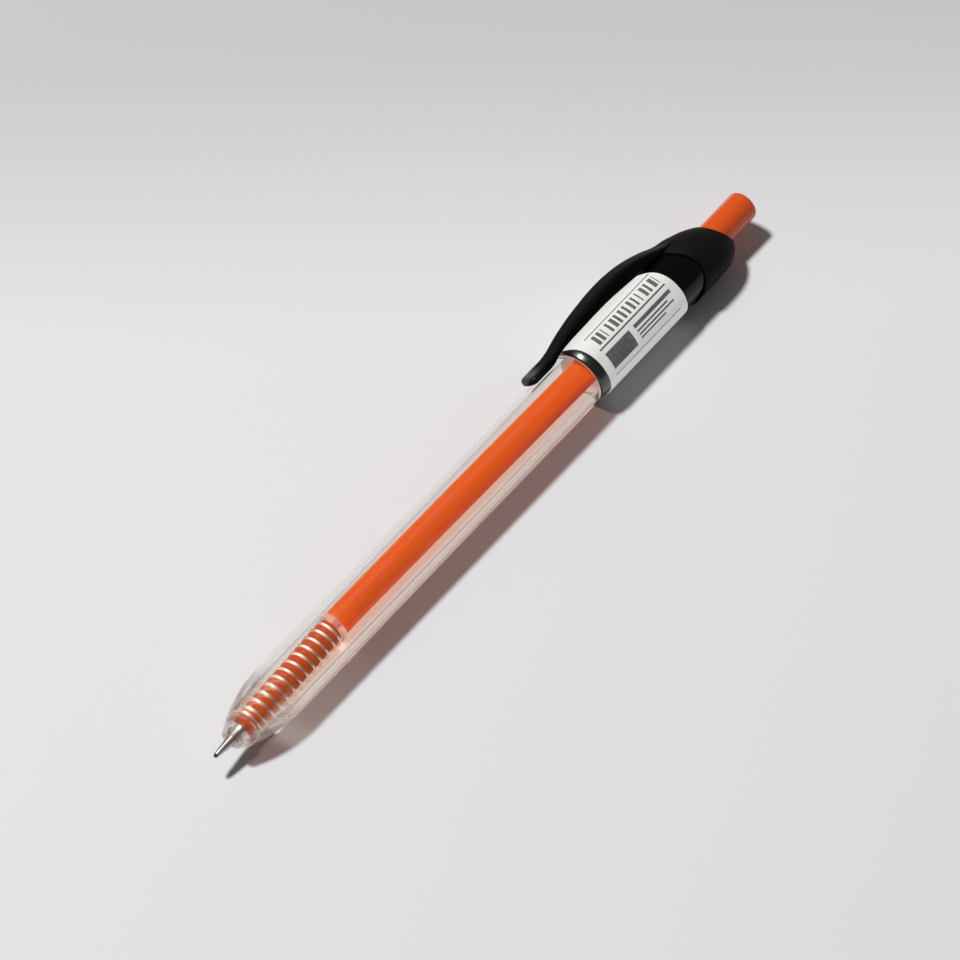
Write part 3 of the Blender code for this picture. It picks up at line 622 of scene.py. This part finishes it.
def bow(x):
    """How far the refill stands to the side at this place along the pen."""
    # It leaves the axis at the start, stands furthest off at the peak and is back at the far end
    station = x - BALL_FRONT
    start, peak, far = 0.014, 0.036, 0.097
    if station < peak:
        share = max(station - start, 0.0) / (peak - start)
        return sizes().refill_bow * share * share * (3 - 2 * share)
    return sizes().refill_bow * max(0.0, 1 - ((station - peak) / (far - peak)) ** 1.3)


def bend_refill(mesh):
    """Bow a refill piece inside the barrel, as a thin tube does behind its spring."""
    across, up = 0.94, 0.34
    for vert in mesh.vertices:
        side = bow(vert.co.x)
        vert.co.y += side * across
        vert.co.z += side * up
    return mesh


def nose_arc(count):
    """(x, radius) points of the ogive nose, from its end on the barrel to the front rim."""
    pen = sizes()
    rise = pen.barrel_radius - pen.nose_radius
    sweep = (pen.nose_length**2 + rise**2) / (2 * rise)
    end = math.asin(pen.nose_length / sweep)
    points = []
    for i in range(count + 1):
        angle = end * i / count
        x = BARREL_FRONT + pen.nose_length - sweep * math.sin(angle)
        points.append((x, pen.barrel_radius - sweep + sweep * math.cos(angle), 0.0))
    return points


class PEN_OT_clear_barrel(bpy.types.Operator):
    """Build the clear barrel with its ogive nose and stepped bore"""

    bl_idname = "pen.clear_barrel"
    bl_label = "Clear Barrel"

    def execute(self, context):
        pen = sizes()
        shoulder = UPPER_FRONT - FACE_GAP
        tenon = pen.barrel_radius - TENON_STEP
        seat = HOLDER_FRONT + 0.00035
        play, draft = 0.00014, 0.00008
        chamber = pen.spring_radius + pen.wire / 2 + play
        hole, pocket = 0.00142, 0.00222
        outline = [
            (BARREL_TAIL, tenon, 0.0002),
            (shoulder, tenon, 0.0001),
            (shoulder, pen.barrel_radius, 0.0002),
            *nose_arc(24)[:-1],
            (BARREL_FRONT, pen.nose_radius, 0.0003),
            (BARREL_FRONT, hole, 0.00015),
            (HOLDER_FRONT - 0.00165, hole, 0.0002),
            (HOLDER_FRONT - 0.00122, pocket, 0.0002),
            (seat, pocket, 0.0001),
            (seat, chamber, 0.0002),
            (seat + 0.0010, chamber + draft, 0.0004),
            (seat + 0.0094, pen.bore_radius, 0.0030),
            (BARREL_TAIL, pen.bore_radius, 0.0002),
        ]
        mesh = lathe("clear_barrel_skin", soften(outline))
        outside = clear_polystyrene("clear_polystyrene", True)
        bore = clear_polystyrene("clear_polystyrene_bore", False)
        finishes = (outside, bore, frosted_polystyrene())
        threads = shoulder + 0.0006
        for face in mesh.polygons:
            outward = Vector((0.0, face.center.y - AXIS_Y, face.center.z - AXIS_Z))
            if face.normal.dot(outward) < 0:
                face.material_index = 1
            elif face.center.x > threads:
                face.material_index = 2
        piece("clear_barrel_skin", mesh, finishes, "barrel", "clear_plastic", "clear_barrel")
        return {"FINISHED"}


class PEN_OT_upper_barrel(bpy.types.Operator):
    """Build the dark upper barrel with its socket and tenon"""

    bl_idname = "pen.upper_barrel"
    bl_label = "Upper Barrel"

    def execute(self, context):
        pen = sizes()
        socket = pen.barrel_radius - TENON_STEP + SLIP
        step = UPPER_TAIL - REAR_TENON_LENGTH
        socket_end, sleeve_end = BARREL_TAIL + FACE_GAP, SLEEVE_FRONT - FACE_GAP
        bore = 0.00423
        outline = [
            (UPPER_TAIL, REAR_TENON_RADIUS, 0.0002),
            (step, REAR_TENON_RADIUS, 0.0001),
            (step, pen.upper_radius, 0.0002),
            (UPPER_FRONT + 0.0010, pen.upper_radius, 0.0004),
            (UPPER_FRONT, pen.upper_radius - 0.00036, 0.0002),
            (UPPER_FRONT, socket, 0.0001),
            (socket_end, socket, 0.0001),
            (socket_end, pen.bore_radius, 0.0001),
            (sleeve_end, pen.bore_radius, 0.0001),
            (sleeve_end, bore, 0.0001),
            (UPPER_TAIL, bore, 0.0001),
        ]
        mesh = lathe("upper_barrel_skin", soften(outline))
        piece("upper_barrel_skin", mesh, [black_polycarbonate()], "barrel", "black_plastic", "upper_barrel")
        return {"FINISHED"}


class PEN_OT_refill(bpy.types.Operator):
    """Build the writing point, its holder and the ink tube, bowed inside the barrel"""

    bl_idname = "pen.refill"
    bl_label = "Refill"

    def execute(self, context):
        pen = sizes()
        lip = BALL_FRONT + 0.00055
        root = HOLDER_FRONT - FACE_GAP
        shank, body = 0.00095, 0.0012
        cone = [
            (CONE_TAIL, 0.0, 0.0),
            (CONE_TAIL, shank, 0.0001),
            (root, shank, 0.00005),
            (root, body, 0.00008),
            (lip + 0.0062, body, 0.0004),
            (lip + 0.0012, 0.00062, 0.0005),
            (lip, 0.00045, 0.00006),
            (lip, 0.00041, 0.00002),
            (lip + 0.00036, 0.0, 0.0),
        ]
        mesh = lathe("writing_point", soften(cone), sides=64, ring=False)
        piece("writing_point", bend_refill(mesh), [nickel_silver()], "refill", "point_metal", "tip_cone")
        dress("tip_ball", tungsten_carbide())

        flange = HOLDER_TAIL - 0.0045
        tube_front = flange + 0.00125
        stem, rim = pen.tube_radius - 0.00050, pen.tube_radius + 0.00030
        tip, socket, channel = 0.00212, 0.00103, 0.0005
        socket_end = HOLDER_FRONT + 0.00445
        holder = [
            (HOLDER_TAIL, stem, 0.0002),
            (flange + 0.001, stem, 0.00005),
            (flange + 0.001, rim, 0.0002),
            (flange + 0.0001, rim, 0.0002),
            (flange, pen.tube_radius + 0.00020, 0.0001),
            (flange, pen.holder_radius, 0.0002),
            (HOLDER_FRONT + 0.0019, pen.holder_radius, 0.0003),
            (HOLDER_FRONT + 0.0016, tip, 0.0002),
            (HOLDER_FRONT, tip, 0.0003),
            (HOLDER_FRONT, socket, 0.0001),
            (socket_end, socket, 0.0001),
            (socket_end, channel, 0.0001),
            (HOLDER_TAIL, channel, 0.0001),
        ]
        mesh = lathe("refill_holder", soften(holder), sides=96)
        finishes = (ink_in_holder(), natural_polypropylene())
        for face in mesh.polygons:
            face.material_index = int(face.center.x > flange - 0.0003)
        bend_refill(mesh)
        inside = [piece("refill_holder", mesh, finishes, "refill", "amber_plastic", "tip_holder")]

        bore = pen.tube_radius - 0.00042
        steps = 40
        run = [TUBE_TAIL + (tube_front - TUBE_TAIL) * i / steps for i in range(steps + 1)]
        tube = [(x, pen.tube_radius, 0.00015 if i in (0, steps) else 0.0) for i, x in enumerate(run)]
        tube += [(x, bore, 0.0) for x in reversed(run)]
        mesh = lathe("refill_tube", soften(tube), sides=96)
        ink = [ink_in_tube()]
        inside.append(piece("refill_tube", bend_refill(mesh), ink, "refill", "tube_plastic", "ink_tube"))

        fill = bore - 0.0001
        for name, cad, material, slot in (
            ("gel_column", "ink_column", gel_ink(), "ink_gel"),
            ("grease_follower", "ink_follower", clear_grease(), "grease"),
        ):
            low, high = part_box(cad)
            steps = 24
            run = [high.x + (low.x - high.x) * i / steps for i in range(steps + 1)]
            outline = [(high.x, 0.0), *((x, fill) for x in run), (low.x, 0.0)]
            mesh = lathe(name, outline, sides=48, ring=False)
            inside.append(piece(name, bend_refill(mesh), [material], "refill", slot, cad))
        # The wall above already gives the tint of their shadow
        for made in inside:
            made.visible_shadow = False
        return {"FINISHED"}


def spring_tree(material, turns):
    """Geometry Nodes for a coil spring: close curls at both ends, even curls between."""
    tree = bpy.data.node_groups.new("coil_spring", "GeometryNodeTree")
    face = tree.interface
    for name in ("Front", "Length", "Radius", "Wire", "Turns", "Axis Y", "Axis Z"):
        face.new_socket(name, in_out="INPUT", socket_type="NodeSocketFloat")
    face.new_socket("Geometry", in_out="OUTPUT", socket_type="NodeSocketGeometry")
    given = tree.nodes.new("NodeGroupInput").outputs

    points_per_turn = 36
    line = node(tree, "GeometryNodeCurvePrimitiveLine", i1=(1.0, 0.0, 0.0))
    steps = node(tree, "GeometryNodeResampleCurve", Curve=line, Count=turns * points_per_turn + 1)
    share = node(tree, "GeometryNodeSplineParameter").outputs["Factor"]
    turned = node(tree, "ShaderNodeMath", {"operation": "MULTIPLY"}, i0=share, i1=given["Turns"])
    angle = node(tree, "ShaderNodeMath", {"operation": "MULTIPLY"}, i0=turned, i1=2 * math.pi)
    # The first and the last turn take this share of the length each
    close = 0.0395
    pitch = node(tree, "ShaderNodeFloatCurve", Value=share)
    curve = pitch.mapping.curves[0]
    for at, value in ((1 / turns, close), (1 - 1 / turns, 1 - close)):
        curve.points.new(at, value)
    for point in curve.points:
        point.handle_type = "VECTOR"
    pitch.mapping.update()
    cosine = node(tree, "ShaderNodeMath", {"operation": "COSINE"}, i0=angle)
    sine = node(tree, "ShaderNodeMath", {"operation": "SINE"}, i0=angle)
    reach = {"operation": "MULTIPLY_ADD"}
    along = node(tree, "ShaderNodeMath", reach, i0=pitch, i1=given["Length"], i2=given["Front"])
    across = node(tree, "ShaderNodeMath", reach, i0=cosine, i1=given["Radius"], i2=given["Axis Y"])
    upward = node(tree, "ShaderNodeMath", reach, i0=sine, i1=given["Radius"], i2=given["Axis Z"])
    spot = node(tree, "ShaderNodeCombineXYZ", X=along, Y=across, Z=upward)
    helix = node(tree, "GeometryNodeSetPosition", Geometry=steps, Position=spot)
    half = node(tree, "ShaderNodeMath", {"operation": "MULTIPLY"}, i0=given["Wire"], i1=0.5)
    wire = node(tree, "GeometryNodeCurvePrimitiveCircle", Resolution=10, Radius=half)
    tube = node(tree, "GeometryNodeCurveToMesh", Curve=helix, Profile_Curve=wire, Fill_Caps=True)
    smooth = node(tree, "GeometryNodeSetShadeSmooth", i0=tube)
    plain = node(tree, "GeometryNodeRealizeInstances", i0=smooth)
    coated = node(tree, "GeometryNodeSetMaterial", i0=plain, Material=material)
    node(tree, "NodeGroupOutput", i0=coated)
    return tree


class PEN_OT_spring(bpy.types.Operator):
    """Wind the return spring round the holder, between the barrel's seat and the holder's flange"""

    bl_idname = "pen.spring"
    bl_label = "Return Spring"

    def execute(self, context):
        pen = sizes()
        maker = bpy.data.objects.new("spring_maker", bpy.data.meshes.new("spring_maker"))
        context.scene.collection.objects.link(maker)
        winding = maker.modifiers.new("Coil", "NODES")
        winding.node_group = spring_tree(spring_steel(), pen.turns)
        values = {
            "Front": SPRING_FRONT + pen.wire / 2,
            "Length": SPRING_TAIL - SPRING_FRONT - pen.wire,
            "Radius": pen.spring_radius,
            "Wire": pen.wire,
            "Turns": float(pen.turns),
            "Axis Y": AXIS_Y,
            "Axis Z": AXIS_Z,
        }
        for item in winding.node_group.interface.items_tree:
            if item.name in values:
                winding[item.identifier] = values[item.name]
        solved = maker.evaluated_get(context.evaluated_depsgraph_get())
        mesh = bpy.data.meshes.new_from_object(solved)
        bpy.data.objects.remove(maker)
        if not mesh.polygons:
            raise RuntimeError("the spring's nodes made no wire")
        mesh.name = "coil_spring"
        bend_refill(mesh)
        spring = bpy.data.objects.new("coil_spring", mesh)
        context.scene.collection.objects.link(spring)
        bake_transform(spring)
        spring.visible_shadow = False
        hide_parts("return_spring")
        return {"FINISHED"}


class PEN_OT_button(bpy.types.Operator):
    """Build the push button with its rounded end"""

    bl_idname = "pen.button"
    bl_label = "Push Button"

    def execute(self, context):
        pen = sizes()
        cap, crown = BUTTON_END - 0.0171, BUTTON_CROWN + 0.0008
        stem = 0.0025
        outline = [
            (BUTTON_END, 0.0, 0.0),
            (BUTTON_END, pen.button_radius, 0.00105),
            (cap, pen.button_radius, 0.0002),
            (cap, stem, 0.0001),
            (crown, stem, 0.0001),
            (crown, 0.0, 0.0),
        ]
        mesh = lathe("button_cap", soften(outline, steps=10), ring=False)
        piece("button_cap", mesh, [orange_abs()], "button", "orange_plastic", "push_button")
        return {"FINISHED"}


def eased(rows, steps):
    """Rows run smoothly through the given rows, with this many steps between two of them."""
    made = []
    last = len(rows) - 1
    for i in range(last):
        before, here, there, after = rows[max(i - 1, 0)], rows[i], rows[i + 1], rows[min(i + 2, last)]
        run = there[0] - here[0]
        for step in range(steps):
            t = step / steps
            row = [here[0] + run * t]
            for k in range(1, len(here)):
                leaving = run * (there[k] - before[k]) / (there[0] - before[0])
                arriving = run * (after[k] - here[k]) / (after[0] - here[0])
                bend = leaving + arriving - 2 * (there[k] - here[k])
                row.append(here[k] + t * (leaving + t * (there[k] - here[k] - leaving - bend * (1 - t))))
            made.append(row)
    return [*made, list(rows[-1])]


def skin(bm, sections, loop):
    """Faces over closed sections, round in a loop or with both ends capped."""
    rows = [[bm.verts.new(point) for point in section] for section in sections]
    pairs = list(zip(rows, rows[1:]))
    if loop:
        pairs.append((rows[-1], rows[0]))
    for here, there in pairs:
        for i in range(len(here)):
            j = (i + 1) % len(here)
            bm.faces.new((here[i], here[j], there[j], there[i]))
    if not loop:
        bm.faces.new(rows[0])
        bm.faces.new(rows[-1])


def clip_arm(bm):
    """The arm: rounded sections from the root in the collar to the ball at its tip."""
    pen = sizes()
    lean = pen.clip_lean
    outward = Vector((0.0, math.sin(lean), math.cos(lean)))
    sideways = Vector((0.0, math.cos(lean), -math.sin(lean)))
    rows = [(ARM_TIP + far, pen.upper_radius + lift, *rest) for far, lift, *rest in ARM_PROFILE]
    rows = eased(rows, steps=6)
    ball, low, thick, wide = rows[-1]
    # The ball closes in steps of a few degrees
    for degrees in range(12, 89, 8):
        size = math.cos(math.radians(degrees))
        x = ball - (ball - ARM_TIP) * math.sin(math.radians(degrees))
        rows.append((x, low + 0.4 * thick * (1 - size), thick * size, wide * size))
    # A lower power makes the section squarer
    sides, power = 40, 0.45
    sections = []
    for x, low, thick, wide in rows:
        section = []
        for i in range(sides):
            angle = 2 * math.pi * (i + 0.5) / sides
            lift = math.copysign(abs(math.cos(angle)) ** power, math.cos(angle))
            side = math.copysign(abs(math.sin(angle)) ** power, math.sin(angle))
            spot = outward * (low + thick / 2 * (1 + lift)) + sideways * (wide / 2 * side)
            section.append(Vector((x, AXIS_Y + spot.y, AXIS_Z + spot.z)))
        sections.append(section)
    skin(bm, sections, loop=False)


def clip_collar(bm):
    """The collar: a slanted dome at the back, an arched front edge and a stepped bore."""
    pen = sizes()
    front = UPPER_TAIL - 0.0059
    dome, dome_length, rim, hole = front + 0.0042, 0.0080, 0.00333, 0.00298
    wall = UPPER_TAIL + FACE_GAP
    step = UPPER_TAIL - REAR_TENON_LENGTH + FACE_GAP
    lip, bore = pen.upper_radius + SLIP, REAR_TENON_RADIUS + SLIP
    centre = front + 0.0033 - pen.arch_radius

    def ring(radius, x, slant, edge=None):
        """Points round the axis; with an edge they stand that far behind the arched front edge."""
        sides = 192
        points = []
        for side in range(sides):
            angle = 2 * math.pi * side / sides
            reach = radius * math.cos(angle - pen.clip_lean)
            at = x - pen.collar_slant * slant * reach
            if edge is not None:
                at = max(front, centre + math.sqrt(pen.arch_radius**2 - reach * reach)) + edge
            points.append(on_pen(at, radius, angle))
        return points

    rings = []
    steps = 28
    for i in range(steps + 1):
        share = 1 - i / steps
        radius = pen.collar_radius - (pen.collar_radius - rim) * share**2.65
        slant = min(1.0, share / 0.55)
        rings.append(ring(radius, dome + dome_length * share, slant * (1.5 - slant * slant / 2)))
    thick = pen.collar_radius - lip
    edge = ((0.0, 0.3), (0.05, 0.15), (0.15, 0.06), (0.3, 0.0), (0.7, 0.0), (0.9, 0.06), (1.0, 0.2))
    for share, back in edge:
        rings.append(ring(pen.collar_radius - thick * share, 0.0, 0.0, back * thick))
    rings += [ring(lip, step, 0.0), ring(bore, step, 0.0), ring(bore, wall, 0.0), ring(hole, wall, 0.0)]
    for x, radius in ((-0.0002, 0.0), (-0.00006, 0.00005), (0.0, 0.00016)):
        rings.append(ring(hole + radius, dome + dome_length + x, 1.0))
    skin(bm, rings, loop=True)


class PEN_OT_clip(bpy.types.Operator):
    """Build the clip: collar and arm in one moulding"""

    bl_idname = "pen.clip"
    bl_label = "Clip"

    def execute(self, context):
        makers = []
        for name, shape in (("clip_moulding", clip_collar), ("clip_arm", clip_arm)):
            bm = bmesh.new()
            shape(bm)
            maker = bpy.data.objects.new(name, finished_mesh(name, bm))
            context.scene.collection.objects.link(maker)
            makers.append(maker)
        joint = makers[0].modifiers.new("Join", "BOOLEAN")
        joint.operation = "UNION"
        joint.object = makers[1]
        mesh = bpy.data.meshes.new_from_object(makers[0].evaluated_get(context.evaluated_depsgraph_get()))
        for maker in makers:
            bpy.data.objects.remove(maker)
        if not mesh.polygons:
            raise RuntimeError("the clip's arm did not join its collar")
        mesh.shade_smooth()
        mesh.set_sharp_from_angle(angle=CRISP)
        piece("clip_moulding", mesh, [black_acetal()], "barrel", "clip_plastic", "clip")
        return {"FINISHED"}


class PEN_OT_label(bpy.types.Operator):
    """Wrap the label, whose edges run forward under the clip"""

    bl_idname = "pen.label"
    bl_label = "Label"

    def execute(self, context):
        pen = sizes()
        bm = bmesh.new()
        layer = bm.loops.layers.uv.new("print")
        sides, steps, film = 192, 24, 0.0001
        reach = math.radians(26)
        rows = []
        for side in range(sides):
            off = 2 * math.pi * side / sides
            lead = pen.label_lead / (1 + (min(off, 2 * math.pi - off) / reach) ** 2)
            front, tail = LABEL_FRONT - lead, LABEL_TAIL - 2.0 * lead
            profile = [(front + (tail - front) * i / steps, pen.label_radius) for i in range(steps + 1)]
            profile += [(x, pen.label_radius - film) for x in (tail, front)]
            rows.append([bm.verts.new(on_pen(x, r, pen.clip_lean - off)) for x, r in profile])
        for side in range(sides):
            here, there = rows[side], rows[(side + 1) % sides]
            for i in range(len(here)):
                j = (i + 1) % len(here)
                face = bm.faces.new((here[i], here[j], there[j], there[i]))
                for loop, turn in zip(face.loops, (side, side, side + 1, side + 1)):
                    arc = 2 * math.pi * turn / sides * pen.label_radius
                    loop[layer].uv = ((loop.vert.co.x - LABEL_FRONT) * 1000, arc * 1000)
        mesh = finished_mesh("wrap_label", bm)
        piece("wrap_label", mesh, [printed_film()], "barrel", "label_film", "label")
        return {"FINISHED"}


class PEN_OT_mechanism(bpy.types.Operator):
    """Finish the cam sleeve and the rotor, which keep their CAD shapes"""

    bl_idname = "pen.mechanism"
    bl_label = "Click Mechanism"

    def execute(self, context):
        material = moulded_acetal()
        dress("cam_sleeve", material)
        dress("cam_rotor", material)
        return {"FINISHED"}


class PEN_OT_stage(bpy.types.Operator):
    """Set the floor, the lights and the camera"""

    bl_idname = "pen.stage"
    bl_label = "Stage"

    def execute(self, context):
        scene = context.scene
        stage = scene.pen_stage
        scene.view_settings.view_transform = "Standard"

        # The floor tilts by the collar's height over the barrel, so that the pen lies on its collar and, this far
        # in front of it, on the barrel
        half, collar, between = 3.0, 0.0545, 0.112
        slope = (sizes().collar_radius - sizes().barrel_radius) / between
        corners = ((-half, -half), (half, -half), (half, half), (-half, half))
        mesh = bpy.data.meshes.new("floor")
        mesh.from_pydata([(x, y, (collar - x) * slope) for x, y in corners], [], [(0, 1, 2, 3)])
        mesh.materials.append(matt_paper(stage))
        floor = bpy.data.objects.new("floor", mesh)
        scene.collection.objects.link(floor)

        world = bpy.data.worlds.new("even_fill")
        world.use_nodes = True
        background = world.node_tree.nodes["Background"]
        background.inputs["Color"].default_value = (1.0, 1.0, 1.0, 1.0)
        background.inputs["Strength"].default_value = stage.fill
        scene.world = world

        target = Vector((BALL_FRONT + 0.0698, AXIS_Y, AXIS_Z))

        lamp = bpy.data.lights.new("key_lamp", "AREA")
        lamp.shape = "DISK"
        lamp.size = stage.key_size
        lamp.energy = stage.key
        key = bpy.data.objects.new("key_lamp", lamp)
        scene.collection.objects.link(key)
        toward = Vector((-0.15, 0.41, 1.0)).normalized()
        key.location = target + toward * stage.key_distance
        key.rotation_euler = toward.to_track_quat("Z", "Y").to_euler()
        key.visible_transmission = False

        camera = bpy.data.objects.new("camera", bpy.data.cameras.new("camera"))
        scene.collection.objects.link(camera)
        back = Vector((-0.462, -0.359, 0.811)).normalized()
        camera.location = target + back * stage.distance
        camera.rotation_euler = back.to_track_quat("Z", "Y").to_euler()
        camera.data.lens = stage.lens
        camera.data.sensor_width = 36.0
        camera.data.clip_start = 0.05
        scene.camera = camera
        return {"FINISHED"}


class PEN_PT_panel(bpy.types.Panel):
    """Lists the pen's pieces"""

    bl_label = "Gel Pen"
    bl_idname = "PEN_PT_panel"
    bl_space_type = "VIEW_3D"
    bl_region_type = "UI"
    bl_category = "Pen"

    def draw(self, context):
        for operator in OPERATORS:
            self.layout.operator(operator.bl_idname)


OPERATORS = (
    PEN_OT_clear_barrel,
    PEN_OT_upper_barrel,
    PEN_OT_refill,
    PEN_OT_spring,
    PEN_OT_button,
    PEN_OT_clip,
    PEN_OT_label,
    PEN_OT_mechanism,
    PEN_OT_stage,
)
CLASSES = (PenSizes, PenColours, StageSettings, *OPERATORS, PEN_PT_panel)


def register():
    for cls in CLASSES:
        bpy.utils.register_class(cls)
    bpy.types.Scene.pen_sizes = PointerProperty(type=PenSizes)
    bpy.types.Scene.pen_colours = PointerProperty(type=PenColours)
    bpy.types.Scene.pen_stage = PointerProperty(type=StageSettings)


def unregister():
    del bpy.types.Scene.pen_stage
    del bpy.types.Scene.pen_colours
    del bpy.types.Scene.pen_sizes
    for cls in reversed(CLASSES):
        bpy.utils.unregister_class(cls)


def main():
    register()
    for operator in OPERATORS:
        group, name = operator.bl_idname.split(".")
        getattr(getattr(bpy.ops, group), name)()


if __name__ == "__main__":
    main()
